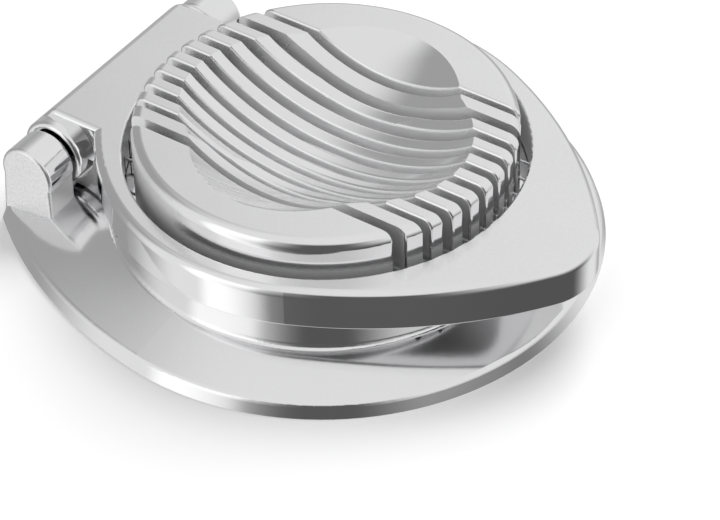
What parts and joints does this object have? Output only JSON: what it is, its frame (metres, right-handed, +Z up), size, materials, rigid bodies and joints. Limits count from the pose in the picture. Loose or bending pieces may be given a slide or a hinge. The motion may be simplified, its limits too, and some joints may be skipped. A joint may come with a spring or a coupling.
{
  "type": "egg slicer",
  "caption": "Cast aluminium egg slicer: a round flared base with a grooved egg cup, and a hinged teardrop frame of taut steel wires that closes over it.",
  "frame": {"origin": "on the axis of the egg cup, at table level under the base", "axes": "+Z up, -Y towards the nose of the frame, hinge along X at the rear (+Y)"},
  "size_m": [0.1162, 0.1234, 0.03],
  "materials": {
    "cast_aluminium": "polished walls, satin ground tops",
    "stainless_wire": "drawn bright wire",
    "pin_steel": "ground bright",
    "ferrule_steel": "crimped, dull"
  },
  "bodies": {
    "base": {"base_casting": "cast_aluminium", "hinge_pin": "pin_steel"},
    "frame": {"slicing_frame": "cast_aluminium", "cutting_wire_01": "stainless_wire", "cutting_wire_02": "stainless_wire", "cutting_wire_03": "stainless_wire", "cutting_wire_04": "stainless_wire", "cutting_wire_05": "stainless_wire", "cutting_wire_06": "stainless_wire", "cutting_wire_07": "stainless_wire", "cutting_wire_08": "stainless_wire", "cutting_wire_09": "stainless_wire", "cutting_wire_10": "stainless_wire", "front_ferrule_01": "ferrule_steel", "front_ferrule_02": "ferrule_steel", "front_ferrule_03": "ferrule_steel", "front_ferrule_04": "ferrule_steel", "front_ferrule_05": "ferrule_steel", "front_ferrule_06": "ferrule_steel", "front_ferrule_07": "ferrule_steel", "front_ferrule_08": "ferrule_steel", "front_ferrule_09": "ferrule_steel", "front_ferrule_10": "ferrule_steel", "rear_ferrule_01": "ferrule_steel", "rear_ferrule_02": "ferrule_steel", "rear_ferrule_03": "ferrule_steel", "rear_ferrule_04": "ferrule_steel", "rear_ferrule_05": "ferrule_steel", "rear_ferrule_06": "ferrule_steel", "rear_ferrule_07": "ferrule_steel", "rear_ferrule_08": "ferrule_steel", "rear_ferrule_09": "ferrule_steel", "rear_ferrule_10": "ferrule_steel"}
  },
  "joints": [
    {"name": "frame_hinge", "type": "hinge", "parent": "base", "child": "frame", "pos_m": [0, 0.0527, 0.01375], "axis": [-1, 0, 0], "range_deg": [0, 100]}
  ]
}
